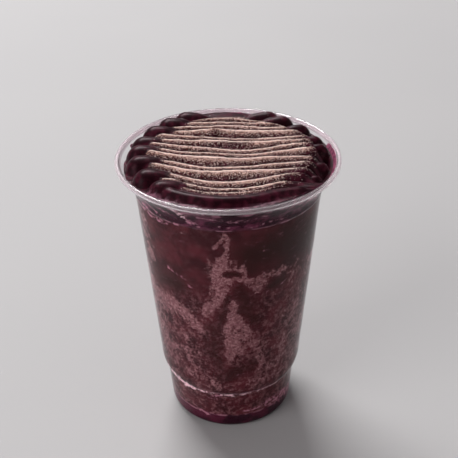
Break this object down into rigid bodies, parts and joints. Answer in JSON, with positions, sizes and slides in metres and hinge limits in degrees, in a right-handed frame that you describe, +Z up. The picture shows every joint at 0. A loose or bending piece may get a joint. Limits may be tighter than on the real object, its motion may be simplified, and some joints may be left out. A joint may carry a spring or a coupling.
{
  "type": "acai cup",
  "caption": "Clear plastic cup with a rolled rim, flared mouth and stepped foot, filled to the rim with dark frozen acai piped in soft folds on top.",
  "frame": {"origin": "middle of the cup's flat underside", "axes": "+Z up along the cup's axis; the piped folds run along X, and the shown side faces -Y"},
  "size_m": [0.098, 0.098, 0.1375],
  "materials": {
    "clear_plastic": "clear glossy thin plastic",
    "frozen_acai": "satin frozen fruit puree with pale powder"
  },
  "bodies": {
    "root": {"cup": "clear_plastic", "acai": "frozen_acai"}
  },
  "joints": []
}
